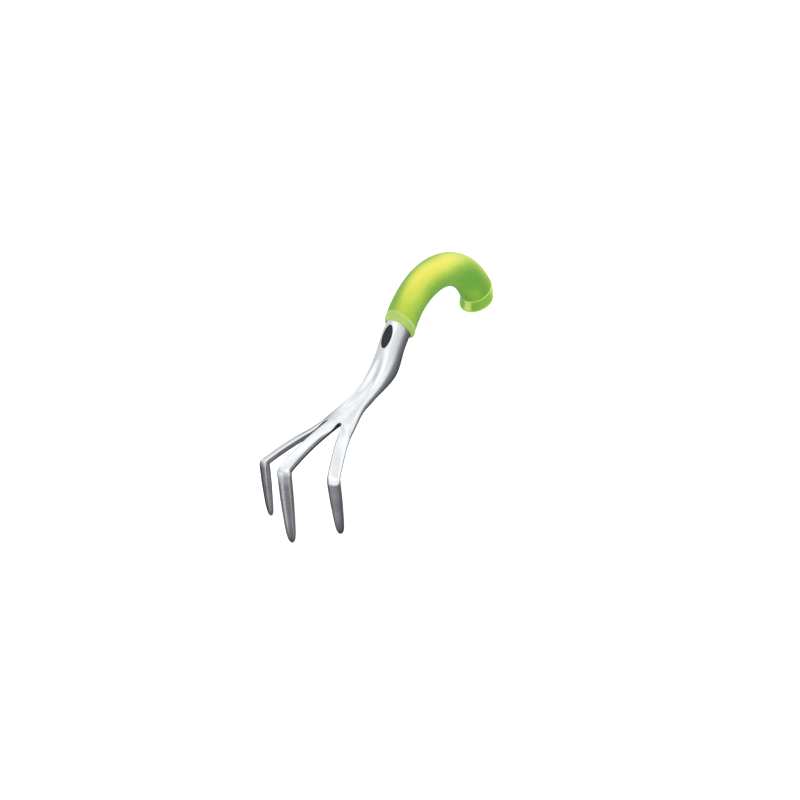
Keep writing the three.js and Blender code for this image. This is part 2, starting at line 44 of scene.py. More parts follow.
ARC_F, ARC_Z, ARC_R = 59.4, 8.7, 63.9
GRIP_R, GRIP_SWELL = 14.6, 0.5
SLEEVE_BORE = 11.8
CREASE_AT = 57.9
RIM_SLANT = 4
COLLAR_LENGTH, RIM_LEAN = 5.3, 0.17
CAP_HEIGHT, CAP_TILT = 10.9, 8
CAP = [
    (10.9, -4.9, 15.0), (8.6, -4.6, 14.95), (6.4, -3.9, 15.0), (4.4, -2.8, 15.15), (2.8, -1.6, 15.4),
    (1.5, -0.8, 15.55), (0.5, -0.6, 15.45), (0.1, -0.6, 15.15), (0, -0.6, 14.75),
]
NECK = [
    (93.94, 63.76, 11.0, 12.6, 11.6, 2.2, 2.2, 0, 0),
    (101.14, 59.25, 11.0, 12.6, 11.6, 2.2, 2.2, 0, 0),
    (104.5, 57.4, 11.0, 13.1, 11.4, 2.25, 2.2, 0, 0),
    (111.4, 53.5, 11.0, 13.6, 11.2, 2.3, 2.2, 0, 0),
    (119.5, 49.2, 10.9, 12.6, 13.8, 2.4, 2.1, 0, 0.2),
    (130.1, 45.1, 10.7, 11.0, 16.6, 2.6, 2.0, 0, 0.9),
    (140.9, 42.6, 10.5, 9.2, 13.2, 2.8, 2.0, 0, 1.1),
    (151.6, 41.6, 10.2, 7.6, 9.4, 3.0, 2.1, 0, 1.1),
    (162.2, 41.9, 9.9, 6.4, 7.3, 3.2, 2.3, 0, 1.0),
    (172.9, 43.3, 10.2, 5.4, 6.5, 3.4, 2.6, 0.1, 0.9),
    (183.5, 44.8, 11.7, 4.4, 5.3, 3.7, 3.2, 1.0, 0.7),
    (194.2, 45.4, 14.2, 3.7, 4.1, 4.2, 4.0, 3.2, 0.4),
    (204.9, 45.4, 16.9, 3.2, 3.1, 5.0, 5.0, 6.3, 0.1),
    (210.2, 45.8, 18.2, 3.0, 2.8, 5.0, 5.0, 7.4, 0),
]
RIM_F = 101.14
TINE_W, MID_W, TINE_T, KNUCKLE_R = 5.75, 6.8, 2.75, 4.2
MID_TINE = [(210.2, 0, 53.0), (225, 0, 57.0), (241.4, 0, 61.1), (258, 0, 64.2), (273, 0, 66.0), (283.9, 0, 66.8), (307.6, 0, 0.06)]
SIDE_TINE = [(210.2, 13.1, 48.3), (221.5, 17.0, 49.4), (235.5, 23.0, 51.0), (249.5, 29.2, 51.6), (260.8, 34.1, 51.4), (268.0, 37.3, 51.0), (284.9, 38.3, 0.06)]
SIDE_ROLL, MID_EDGE, SLOT_W, MORPH = 24, 5.6, 3.0, 13
POINT = [
    (0, 1.03, 1.75, 1.1), (0.3, 0.98, 1.7, 1.1), (0.55, 0.87, 1.5, 1.0), (0.77, 0.75, 1.25, 0.9),
    (0.88, 0.65, 1.0, 0.8), (0.95, 0.5, 0.72, 0.62), (0.985, 0.3, 0.42, 0.4), (1, 0.1, 0.14, 0.14),
]
POINT_EDGE = 2.9
BADGE_AT, BADGE_L, BADGE_W, POCKET_DEPTH, ADHESIVE_T, BADGE_T = 107.3, 22, 9.5, 2.5, 0.3, 1.0
OVAL = dict(w=11.0, a=12.6, b=11.6, up=0.9, p=2.2)
TANG_W, TANG_H, TANG_TO, CORE_FROM = 8, 12, 160, 65

# mesh steps of the casting's cage, finer than the CAD's
TINE_COLS, SLOT_COLS, SIDE_ROWS = 8, 4, 6

rad = math.radians


def V(f, y, z):
    return np.array([X_ORIGIN - f, y, z], float)


def pchip(xs, ys):
    xs, ys = list(map(float, xs)), list(map(float, ys))
    n = len(xs)
    h = [xs[i + 1] - xs[i] for i in range(n - 1)]
    d = [(ys[i + 1] - ys[i]) / h[i] for i in range(n - 1)]
    m = [0.0] * n
    for i in range(1, n - 1):
        if d[i - 1] * d[i] > 0:
            a, b = 2 * h[i] + h[i - 1], h[i] + 2 * h[i - 1]
            m[i] = (a + b) / (a / d[i - 1] + b / d[i])
    m[0], m[-1] = d[0], d[-1]

    def at(x):
        i = 0
        while i < n - 2 and x > xs[i + 1]:
            i += 1
        t = (x - xs[i]) / h[i]
        t2, t3 = t * t, t * t * t
        return ys[i] * (2 * t3 - 3 * t2 + 1) + h[i] * m[i] * (t3 - 2 * t2 + t) + ys[i + 1] * (3 * t2 - 2 * t3) + h[i] * m[i + 1] * (t3 - t2)

    return at


def column(table, i):
    return pchip([r[0] for r in table], [r[i] for r in table])


def smooth(t):
    t = min(1.0, max(0.0, t))
    return t * t * (3 - 2 * t)


def bend(deg):
    t = rad(min(deg, 180))
    drop = max(0.0, rad(deg - 180) * ARC_R)
    return dict(f=ARC_F + ARC_R * math.cos(t), z=ARC_Z + ARC_R * math.sin(t) - drop, nf=math.cos(t), nz=math.sin(t), tf=math.sin(t), tz=-math.cos(t))


def on(b, x, y, s):
    return V(b["f"] + b["nf"] * x + b["tf"] * s, y, b["z"] + b["nz"] * x + b["tz"] * s)


def circle(b, r, n, slide=lambda x: 0.0):
    out = []
    for i in range(n):
        a = 2 * math.pi * i / n
        x, y = r * math.cos(a), r * math.sin(a)
        out.append(on(b, x, y, slide(x)))
    return out


CREASE = bend(CREASE_AT)


def slant_of(b):
    rf, rz = math.cos(rad(RIM_SLANT)), -math.sin(rad(RIM_SLANT))
    return -(b["nf"] * rf + b["nz"] * rz) / (b["tf"] * rf + b["tz"] * rz)


SLANT = slant_of(CREASE)
grip_radius = pchip([50, 75, 105, 135, 160, 190], [GRIP_R + k * GRIP_SWELL for k in (0, 0.1, 1.2, 1.2, 0.9, 0.8)])


def beyond(p):
    """How far a point in mm lies past the slanted crease, towards the tines."""
    f, z = X_ORIGIN - p[0] - CREASE["f"], p[2] - CREASE["z"]
    x = f * CREASE["nf"] + z * CREASE["nz"]
    return f * CREASE["tf"] + z * CREASE["tz"] - x * SLANT


def seam(p):
    return CAP_HEIGHT - (X_ORIGIN - p[0] - bend(180)["f"]) * math.tan(rad(CAP_TILT))


# ------------------------------------------------------------------ mesh tools
def make(name, points, faces, marks=None):
    """An object from points in mm and polygon faces, turned to face out, shaded smooth."""
    bm = bmesh.new()
    layers = {k: bm.verts.layers.float.new(k) for k in (marks or {})}
    verts = []
    for i, p in enumerate(points):
        v = bm.verts.new(Vector(p) * 0.001)
        for k, layer in layers.items():
            v[layer] = float(marks[k][i])
        verts.append(v)
    for f in faces:
        ids = [f[i] for i in range(len(f)) if f[i] != f[i - 1]]
        if len(ids) > 2:
            bm.faces.new([verts[i] for i in ids])
    bmesh.ops.recalc_face_normals(bm, faces=bm.faces)
    if bm.calc_volume(signed=True) < 0:
        bmesh.ops.reverse_faces(bm, faces=bm.faces)
    for f in bm.faces:
        f.smooth = True
    me = bpy.data.meshes.new(name)
    bm.to_mesh(me)
    bm.free()
    ob = bpy.data.objects.new(name, me)
    bpy.context.scene.collection.objects.link(ob)
    return ob


def rings_mesh(name, rings, closed=False, marks=None):
    """A closed body through rings of points; closed joins the last ring to the first."""
    n = len(rings[0])
    points = [p for r in rings for p in r]
    faces = []
    for r in range(len(rings) if closed else len(rings) - 1):
        s = (r + 1) % len(rings)
        for i in range(n):
            j = (i + 1) % n
            faces.append([r * n + i, r * n + j, s * n + j, s * n + i])
    if not closed:
        points.append(sum(rings[0]) / n)
        points.append(sum(rings[-1]) / n)
        last = (len(rings) - 1) * n
        for i in range(n):
            j = (i + 1) % n
            faces.append([len(points) - 2, j, i])
            faces.append([len(points) - 1, last + i, last + j])
        if marks:
            marks = {k: list(m) + [m[0], m[-1]] for k, m in marks.items()}
    return make(name, points, faces, marks)


def bake_modifiers(ob):
    """Replaces the object's mesh by what its modifiers make of it."""
    dg = bpy.context.evaluated_depsgraph_get()
    dg.update()
    me = bpy.data.meshes.new_from_object(ob.evaluated_get(dg))
    old = ob.data
    ob.modifiers.clear()
    ob.data = me
    if old.users == 0:
        bpy.data.meshes.remove(old)


# ------------------------------------------------------------------ the casting
neck = {k: column(NECK, i + 1) for i, k in enumerate(("z", "w", "a", "b", "pt", "pb", "crown", "channel"))}


def neck_frame(f):
    if f <= RIM_F:
        s = (f - CREASE["f"] - CREASE["nf"] * OVAL["up"]) / CREASE["tf"]
        return dict(CREASE, f=f, z=CREASE["z"] + CREASE["nz"] * OVAL["up"] + CREASE["tz"] * s)
    e = 0.5
    s = (neck["z"](f + e) - neck["z"](f - e)) / (2 * e)
    l = math.hypot(1, s)
    return dict(f=f, z=neck["z"](f), nf=-s / l, nz=1 / l, tf=1 / l, tz=s / l)


ROOT = NECK[-1]
ROOT_CORNER = ROOT[2] * 2 ** (-1 / ROOT[5])


def make_shares():
    s = []
    m, o = MID_EDGE / ROOT_CORNER, (MID_EDGE + SLOT_W) / ROOT_CORNER
    for i in range(TINE_COLS + 1):
        s.append(-1 + (1 - o) * i / TINE_COLS)
    for i in range(1, SLOT_COLS + 1):
        s.append(-o + (o - m) * i / SLOT_COLS)
    for i in range(1, TINE_COLS + 1):
        s.append(-m + 2 * m * i / TINE_COLS)
    for i in range(1, SLOT_COLS + 1):
        s.append(m + (o - m) * i / SLOT_COLS)
    for i in range(1, TINE_COLS + 1):
        s.append(o + (1 - o) * i / TINE_COLS)
    return s


SHARES = make_shares()


def section(w, a, b, pt, pb, shares, channel=0.0):
    kt, kb = 2 ** (-1 / pt), 2 ** (-1 / pb)
    top, bottom, right = [], [], []
    for s in shares:
        y = kt * w * s
        c = min(1.0, abs(y) / (0.7 * w))
        top.append((y, a * (1 - abs(y / w) ** pt) ** (1 / pt) - channel * (1 - c * c) ** 2))
        y = kb * w * s
        bottom.append((y, -b * (1 - abs(y / w) ** pb) ** (1 / pb)))
    for i in range(1, SIDE_ROWS):
        z = kt * a + (-kb * b - kt * a) * i / SIDE_ROWS
        p, h = (pt, a) if z > 0 else (pb, b)
        right.append((w * (1 - abs(z / h) ** p) ** (1 / p), z))
    return top, bottom, right, [(-y, z) for y, z in right]


def catmull(pts, samples=400):
    """Centripetal Catmull-Rom through pts, as arc-length samples."""
    P = [np.array(p) for p in pts]
    ext = [2 * P[0] - P[1]] + P + [2 * P[-1] - P[-2]]
    out = []
    for k in range(len(P) - 1):
        p0, p1, p2, p3 = ext[k : k + 4]
        t0 = 0.0
        t1 = t0 + max(1e-9, np.linalg.norm(p1 - p0) ** 0.5)
        t2 = t1 + max(1e-9, np.linalg.norm(p2 - p1) ** 0.5)
        t3 = t2 + max(1e-9, np.linalg.norm(p3 - p2) ** 0.5)
        for i in range(samples):
            t = t1 + (t2 - t1) * i / samples
            a1 = (t1 - t) / (t1 - t0) * p0 + (t - t0) / (t1 - t0) * p1
            a2 = (t2 - t) / (t2 - t1) * p1 + (t - t1) / (t2 - t1) * p2
            a3 = (t3 - t) / (t3 - t2) * p2 + (t - t2) / (t3 - t2) * p3
            b1 = (t2 - t) / (t2 - t0) * a1 + (t - t0) / (t2 - t0) * a2
            b2 = (t3 - t) / (t3 - t1) * a2 + (t - t1) / (t3 - t1) * a3
            out.append((t2 - t) / (t2 - t1) * b1 + (t - t1) / (t2 - t1) * b2)
    out.append(P[-1])
    out = np.array(out)
    seg = np.linalg.norm(np.diff(out, axis=0), axis=1)
    s = np.concatenate([[0], np.cumsum(seg)])

    def point(at):
        return np.array([np.interp(at, s, out[:, i]) for i in range(3)])

    def tangent(at):
        e = 0.4
        t = point(min(s[-1], at + e)) - point(max(0, at - e))
        return t / np.linalg.norm(t)

    return point, tangent, s[-1]


def unit(v):
    return v / np.linalg.norm(v)


def rotated(v, axis, a):
    return np.array(Matrix.Rotation(a, 3, Vector(axis)) @ Vector(v))


def head_mesh():
    points, faces, side, tip, along, sheen = [], [], [], [], [], []

    def add(p, m_side=0.0, m_tip=0.0, m_along=0.0, m_sheen=0.0):
        points.append(np.array(p, float))
        side.append(m_side)
        tip.append(m_tip)
        along.append(m_along)
        sheen.append(m_sheen)
        return len(points) - 1

    def strip(r0, r1):
        for i in range(len(r0)):
            j = (i + 1) % len(r0)
            faces.append([r0[i], r0[j], r1[j], r1[i]])

    def loop(r):
        return r["top"] + r["right"] + r["bottom"][::-1] + r["left"][::-1]

    n = len(SHARES)
    at = [94.24, 97.5, 101.14] + [102.6 + 2.4 * i for i in range(44)] + [208.6, 210.2]
    previous = fork = None
    half = SLOT_COLS / 2
    for k, f in enumerate(at):
        b = neck_frame(f)
        w, crown = neck["w"](f), neck["crown"](f)
        top, bottom, right, left = section(w, neck["a"](f), neck["b"](f), neck["pt"](f), neck["pb"](f), SHARES, neck["channel"](f))
        slide = SLANT * (1 - smooth((f - RIM_F) / 22))
        up = OVAL["up"] if f <= RIM_F else 0.0
        closed = k == len(at) - 1

        def place(q, m, back=0.0):
            y, z = q
            h = z + crown * (1 - (y / w) * (y / w))
            return add(on(b, h, y, (h + up) * slide - back), m, 0.0, f)

        def back(i):
            if not closed:
                return 0.0
            for c0 in (TINE_COLS, n - 1 - TINE_COLS - SLOT_COLS):
                if c0 < i < c0 + SLOT_COLS:
                    return 0.9 * (1 - ((i - c0 - half) / half) ** 2)
            return 0.0

        # side mark along the neck: darker flanks and underside, partly as-cast skin, partly painted shade graded along
        # the neck and over the edges of the top
        far = smooth((f - 150) / 45)
        near = 1 - smooth((f - 115) / 35)

        def lip(s):
            if s > 0:
                return 0.6 * smooth((s - 0.8) / 0.2)
            start = 0.8 - 0.45 * near
            return (0.35 + 0.1 * near) * smooth((-s - start) / (1 - start))

        edge = 0.1 + 0.45 * far
        ring = dict(
            top=[place(q, lip(SHARES[i]), back(i)) for i, q in enumerate(top)],
            bottom=[place(q, 1.0, back(i)) for i, q in enumerate(bottom)],
            right=[place(q, edge + 0.3 * far + (0.5 - edge + 0.5 * far) * smooth(i / (SIDE_ROWS - 2))) for i, q in enumerate(right)],
            left=[place(q, 0.05 + 0.42 * near + (0.45 - 0.35 * near + 0.5 * far) * smooth((i - 1) / (SIDE_ROWS - 3)) - 0.2 * near * smooth((i - 2) / 3)) for i, q in enumerate(left)],
        )
        if previous:
            strip(loop(previous), loop(ring))
        else:
            l = loop(ring)
            c = add(sum(points[i] for i in l) / len(l), 0.0, 0.0, f)
            for i in range(len(l)):
                faces.append([c, l[(i + 1) % len(l)], l[i]])
        previous = fork = ring

    L1, L2 = TINE_COLS, TINE_COLS + SLOT_COLS
    R1, R2 = L2 + TINE_COLS, L2 + TINE_COLS + SLOT_COLS
    gaps = {}

    # the slot walls get darker downwards: partly as-cast skin, partly painted shade
    def wall(c):
        a, b = points[fork["top"][c]], points[fork["bottom"][c]]
        return [add(a + (b - a) * i / SIDE_ROWS, smooth(i / 3), 0.0, 210.0) for i in range(1, SIDE_ROWS)]

    for c0 in (L1, R1):
        cols = []
        for c in range(c0, c0 + SLOT_COLS + 1):
            gaps[c] = wall(c)
            cols.append([fork["top"][c]] + gaps[c] + [fork["bottom"][c]])
        for i in range(SLOT_COLS):
            for j in range(SIDE_ROWS):
                faces.append([cols[i][j], cols[i + 1][j], cols[i + 1][j + 1], cols[i][j + 1]])

    shares = [-1 + 2 * i / TINE_COLS for i in range(TINE_COLS + 1)]
    kw, front, behind = column(POINT, 1), column(POINT, 2), column(POINT, 3)

    def tine(path, mirror, start, streak):
        middle = path is MID_TINE
        outer_left = not middle and mirror > 0
        outer_right = not middle and mirror < 0
        flank = 0.5 if outer_left else 0.35
        pts = [V(f, mirror * o, z) for f, o, z in path]
        knuckle, tip_at = pts[-2], pts[-1]
        point, tangent, length = catmull(pts[:-1])
        t1, t2 = tangent(length), unit(tip_at - knuckle)
        turn = math.acos(float(np.dot(t1, t2)))
        cut = KNUCKLE_R * math.tan(turn / 2)
        stations = []
        straight = length - cut
        steps = 26
        for i in range(1, steps + 1):
            s = straight * (i / steps) ** 1.15
            stations.append((point(s), tangent(s), s, 0.0, 0.0, 0.0))
        e1 = knuckle - t1 * cut
        axis = unit(np.cross(t1, t2))
        inward = np.cross(axis, t1)
        centre = e1 + inward * KNUCKLE_R
        for i in range(1, 9):
            a = turn * i / 8
            # darker from the knuckle on: partly as-cast skin, partly painted shade, set in full on one side tine only
            skin_and_shade = 0.25 * smooth((i - 5) / 3) if middle else smooth((i - 3.5) / 2.5) if mirror > 0 else 0.0
            stations.append((centre + rotated(-inward * KNUCKLE_R, axis, a), rotated(t1, axis, a), length, 0.0, skin_and_shade, smooth(i / 8)))
        e2 = knuckle + t2 * cut
        reach = np.linalg.norm(tip_at - e2)
        for k in (0.025, 0.06, 0.13, 0.2, 0.27, 0.34, 0.41, 0.48, 0.55, 0.62, 0.69, 0.75, 0.8, 0.845, 0.88, 0.91, 0.935, 0.955, 0.972, 0.985, 0.994):
            stations.append((e2 + t2 * reach * k, t2, length, k, 0.25 + 0.75 * smooth(k / 0.16) if middle else 1.0, 1.0))
        previous = start
        across0 = unit(points[start[TINE_COLS]] - points[start[0]])
        roll = 0.0 if middle else rad(SIDE_ROLL)
        width = (MID_W if middle else TINE_W) - 0.04
        out = unit(np.array([t1[1], -t1[0], 0.0]))
        if np.dot(out, across0) < 0:
            out = -out
        across1 = out * math.cos(roll) + np.array([0, 0, 0.0 if middle else -np.sign(out[1] * mirror) * math.sin(roll)])
        flip = None
        for p, t, s, k, m_tip, grow in stations:
            m, r = smooth(s / MORPH), smooth(s / (2.2 * MORPH))
            across = across0 + (across1 - across0) * r
            across = unit(across - t * np.dot(across, t))
            upv = unit(np.cross(t, across))
            if flip is None:
                flip = upv[2] < 0
            if flip:
                upv = -upv
            top, bottom, right, left = section(
                width * (1 + (kw(k) - 1) * grow), TINE_T * (1 + (front(k) - 1) * grow), TINE_T * (1 + (behind(k) - 1) * grow),
                4.2 + (POINT_EDGE - 4.2) * grow, 3.6, shares)
            own = top + right + bottom[::-1] + left[::-1]
            nt, nr = len(top), len(right)
            shift = p - pts[0]
            ids = []
            for i, (y, z) in enumerate(own):
                own3 = p + across * y + upv * z
                slab = points[start[i]] + shift
                # painted shade: a darker band over the right-hand edge of the top on the two left tines
                edge_shade = 0.0
                if i < nt and mirror > 0:
                    edge_shade = smooth((-shares[i] - (0.85 if outer_left else 0.6)) / 0.4) * smooth(s / 30) * (1 - grow)
                    edge_shade = max(edge_shade, smooth((-shares[i] - 0.5) / 0.4) * 0.6 * grow if outer_left else 0.0)
                # side mark on the tines: darker flanks and underside, partly as-cast skin, partly painted shade set
                # differently on each tine
                if i < nt:
                    ms = 0.35 * smooth((abs(shares[i]) - 0.8) / 0.2) + grow * (0.0 if outer_left else 0.6) * smooth((shares[i] - 0.5) / 0.5)
                    ms = max(ms, 0.75 * edge_shade)
                elif i < nt + nr:
                    ms = 0.6 + 0.4 * smooth((i - nt) / (nr - 1)) + 0.3 * grow
                elif i < nt + nr + nt:
                    ms = 1.0 - 0.4 * grow
                else:
                    low = 0.55 + ((0.25 if outer_left else 0.35) * smooth(s / 30) if mirror > 0 else 0.0)
                    ms = (low + (1 - low) * smooth((len(own) - 1 - i) / (nr - 1))) * (1 - (1.1 - flank) * grow)
                ms = side[start[i]] + (ms - side[start[i]]) * smooth(s / 28)
                # brighter tops of the tines: partly a polished finish, partly painted highlight
                shine = 0.95 * smooth(s / 25) * (1 - grow) * (1 - edge_shade) if i < nt else 0.0
                # painted reflection: a light streak along the top of each point
                if i < nt and m_tip > 0:
                    u = shares[i] * mirror * (1 if middle else -1)
                    c, w, a = streak
                    shine += a * m_tip * math.exp(-(((u - c) / w) ** 2)) * (1 - smooth((k - 0.6) / 0.4))
                # painted light: the right flanks of the points are lighter
                skin_and_shade = m_tip * (flank if i >= nt + nr + nt else 1.0)
                # painted shade: one half of the top is darker on the mid point and at the end of the outer right
                # knuckle
                if middle and i < nt:
                    skin_and_shade = max(skin_and_shade, 0.7 * smooth(-shares[i] / 0.5) * smooth((grow - 0.4) / 0.6))
                if outer_right and grow == 1.0 and k == 0.0 and i < nt:
                    skin_and_shade = 0.55 * smooth((shares[i] + 0.2) / 0.8)
                ids.append(add(slab + (own3 - slab) * m, ms, skin_and_shade, 210.0 + s + k * reach, shine))
            strip(previous, ids)
            previous = ids
        end = add(tip_at, 0.5, 1.0, 210.0 + length + reach)
        for i in range(len(previous)):
            faces.append([previous[i], previous[(i + 1) % len(previous)], end])

    def part(c0, right, left):
        return fork["top"][c0 : c0 + TINE_COLS + 1] + right + fork["bottom"][c0 : c0 + TINE_COLS + 1][::-1] + left[::-1]

    tine(SIDE_TINE, -1, part(0, gaps[L1], fork["left"]), (0.3, 0.5, 0.12))
    tine(MID_TINE, 1, part(L2, gaps[R1], gaps[L2]), (0.08, 0.26, 0.9))
    tine(SIDE_TINE, 1, part(R2, fork["right"], gaps[R2]), (-0.85, 0.3, 0.4))
    return points, faces, dict(side=side, tip=tip, along=along, polish_and_highlight=sheen)


def oval_prism(name, length, width, depths, n=96, grow=None):
    """An upright oval body on the neck's top, through rings at depths under the crown."""
    b = neck_frame(BADGE_AT)
    top = neck["a"](BADGE_AT)
    rings = []
    for i, d in enumerate(depths):
        g = grow[i] if grow else 0.0
        rings.append([on(b, top - d, (width / 2 + g) * math.sin(2 * math.pi * k / n), (length / 2 + g) * math.cos(2 * math.pi * k / n)) for k in range(n)])
    return rings_mesh(name, rings)


def tang_mesh():
    rings = []
    for i in range(49):
        b = bend(CORE_FROM - 4 + (TANG_TO - CORE_FROM + 4) * i / 48)
        k = 0.8 if i == 48 else 1.0
        h, w, c = TANG_H / 2 * k, TANG_W / 2 * k, 1.2
        rings.append([on(b, x, y, 0) for x, y in [(h, w - c), (h - c, w), (-h + c, w), (-h, w - c), (-h, -w + c), (-h + c, -w), (h - c, -w), (h, -w + c)]])
    return rings_mesh("cut_tang", rings)


def seat_mesh():
    rings = [circle(bend(CORE_FROM - 0.6), 10.3, 64), circle(CREASE, 10.3, 64, lambda x: x * SLANT), circle(CREASE, 10.3, 64, lambda x: x * SLANT + 3)]
    return rings_mesh("cut_seat", rings)


def boolean(ob, other, how):
    m = ob.modifiers.new(how, "BOOLEAN")
    m.operation = how
    m.solver = "EXACT"
    m.object = other
    bake_modifiers(ob)
    me = other.data
    bpy.data.objects.remove(other)
    bpy.data.meshes.remove(me)


def build_head():
    points, faces, marks = head_mesh()
    ob = make("casting_head", points, faces, marks)
    m = ob.modifiers.new("round", "SUBSURF")
    m.levels = m.render_levels = 1
    m.boundary_smooth = "ALL"
    bake_modifiers(ob)
    boolean(ob, seat_mesh(), "UNION")
    boolean(ob, tang_mesh(), "UNION")
    boolean(ob, oval_prism("cut_pocket", BADGE_L, BADGE_W, (-4, POCKET_DEPTH)), "DIFFERENCE")
    # soften the pocket's rim
    bm = bmesh.new()
    bm.from_mesh(ob.data)
    bmesh.ops.remove_doubles(bm, verts=bm.verts, dist=2e-6)
    frame_b = neck_frame(BADGE_AT)
    c = Vector(on(frame_b, neck["a"](BADGE_AT), 0, 0)) * 0.001
    rim = [e for e in bm.edges if len(e.link_faces) == 2 and e.calc_face_angle(0) > rad(48) and ((e.verts[0].co + e.verts[1].co) / 2 - c).length < 0.0135]
    bmesh.ops.bevel(bm, geom=rim, offset=0.00032, segments=3, profile=0.5, affect="EDGES", clamp_overlap=True)
    for f in bm.faces:
        f.smooth = True
    bm.to_mesh(ob.data)
    bm.free()
    return ob


# ------------------------------------------------------------------ the grip
def fillet(points, r, steps=5):
    """Rounds the corners of a closed 2D outline [(x, y, radius), ...]."""
    out = []
    n = len(points)
    for i in range(n):
        p = np.array(points[i][:2], float)
        q = points[i][2] if len(points[i]) > 2 else r
        a, b = np.array(points[i - 1][:2], float), np.array(points[(i + 1) % n][:2], float)
        if q <= 0:
            out.append(p)
            continue
        u, v = unit(a - p), unit(b - p)
        for k in range(steps + 1):
            t = k / steps
            out.append((1 - t) ** 2 * (p + u * q) + 2 * t * (1 - t) * p + t**2 * (p + v * q))
    return out


def build_sleeve():
    n = 112
    low = bend(180)
    rings = []

    def ring(a, r, end=0.0):
        """Ring at bend angle a, radius r; end slides it towards the crease."""
        b = bend(a)
        k = smooth((72 - a) / (72 - CREASE_AT))
        return circle(b, r, n, lambda x: x * SLANT * k + end)

    def level(r, lift):
        return [np.array([p[0], p[1], seam(p) + GAP + lift]) for p in circle(low, r, n)]

    e = 0.45
    outer = []
    for k in range(6):
        t = math.pi / 2 * k / 5
        outer.append(level(GRIP_R + 0.4 - e * (1 - math.sin(t)), e * (1 - math.cos(t))))
    angles = np.linspace(173.5, CREASE_AT + 1.2, 72)
    for a in angles:
        outer.append(ring(a, grip_radius(a) - 0.02))
    # a fine bead where the sleeve meets the collar
    for s, r in ((-0.9, 0.02), (-0.7, 0.08), (-0.5, 0.12), (-0.3, 0.12), (-0.12, 0.06), (-0.03, -0.06), (0.0, -0.25)):
        outer.append(circle(CREASE, GRIP_R + r, n, lambda x, s=s: x * SLANT + s))
    inner = [circle(CREASE, SLEEVE_BORE, n, lambda x: x * SLANT)]
    for a in angles[::-3]:
        inner.append(ring(a, SLEEVE_BORE))
    inner.append(level(SLEEVE_BORE, 0))
    ob = rings_mesh("grip_skin", outer + inner, closed=True)
    painted_light = ob.data.attributes.new("painted_light", "FLOAT", "POINT")
    # painted highlight: a yellow band along the grip, set by bend angle and by angle round the tube to lie where the
    # light falls along its top
    centre = pchip([58, 75, 90, 103, 116, 130, 147, 160, 172, 180], [20, 17, 14, 22, 34, 30, 22, 33, 42, 46])
    strength = pchip([58, 68, 80, 90, 116, 130, 140, 150, 162, 172, 180], [0.40, 0.45, 0.74, 0.95, 1.0, 0.8, 0.6, 0.5, 0.46, 0.34, 0.26])
    inner_side = pchip([58, 70, 80, 90, 116, 180], [64, 60, 54, 48, 40, 36])
    outer_side = pchip([58, 90, 116, 180], [28, 27, 33, 33])
    pale = ob.data.attributes.new("pale", "FLOAT", "POINT")
    painted_light = ob.data.attributes["painted_light"]
    for v, g, e in zip(ob.data.vertices, painted_light.data, pale.data):
        x, z = X_ORIGIN - ARC_F - v.co.x * 1000, v.co.z * 1000 - ARC_Z
        a = math.degrees(math.atan2(z, x))
        t = math.degrees(math.atan2(-v.co.y * 1000, math.hypot(x, z) - ARC_R))
        a = min(max(a, 58), 180)
        d = (t - centre(a) + 180) % 360 - 180
        g.value = strength(a) * math.exp(-((d / (inner_side(a) if d > 0 else outer_side(a))) ** 2))
        # painted light: a fainter lighter patch on the inner side near the butt
        g.value += 0.16 * math.exp(-(((a - 171) / 15) ** 2) - ((abs(t) - 140) / 28) ** 2)
        # the rim before the collar is thinner and paler, partly a painted highlight along the seam bead
        e.value = smooth((beyond(v.co * 1000) + 1.5) / 0.6)
    return ob


def oval(b, grow, n, slide):
    out = []
    e = 2 / OVAL["p"]
    for i in range(n):
        t = 2 * math.pi * i / n
        c, q = math.cos(t), math.sin(t)
        x = OVAL["up"] + ((OVAL["a"] if c > 0 else OVAL["b"]) + grow) * math.copysign(abs(c) ** e, c)
        y = (OVAL["w"] + grow) * math.copysign(abs(q) ** e, q)
        out.append(on(b, x, y, slide(x)))
    return out


def build_collar():
    n = 112
    start, nose, to = GAP, 1.6, COLLAR_LENGTH

    def at(s):
        return lambda x: x * (SLANT + RIM_LEAN * (s - start) / (to - start)) + s

    def hole(s, grow=0.12):
        return oval(CREASE, grow, n, at(s))

    outer = []
    inner = [hole(start)]
    for s, r in ((-0.18, -0.3), (-0.16, -0.14), (-0.06, -0.02), (0.12, 0.03), (0.6, 0.05), (1.1, 0.03)):
        outer.append(circle(CREASE, GRIP_R + r, n, at(start + s)))
    for q in range(0, 80, 6):
        s = nose + (to - nose) * math.sin(rad(q))
        k = 1 - math.cos(rad(q))
        rim = hole(s, GAP)
        outer.append([p + (h - p) * k for p, h in zip(circle(CREASE, GRIP_R, n, at(s)), rim)])
    s_end = nose + (to - nose) * math.sin(rad(79))
    inner = [hole(s) for s in np.linspace(start, s_end - 0.15, 8)][::-1]
    ob = rings_mesh("collar_ring", outer + inner, closed=True)
    painted_light = ob.data.attributes.new("painted_light", "FLOAT", "POINT")
    # painted light: lighter along the seam with the sleeve, at the edge by the metal and towards the top
    for v, g in zip(ob.data.vertices, painted_light.data):
        p = v.co * 1000
        s = beyond(p)
        g.value = 0.5 * (1 - smooth((s - 0.4) / 0.8)) + 0.12 * smooth((s - 3.6) / 1.2) + 0.3 * smooth((p.z - 64) / 12)
    return ob


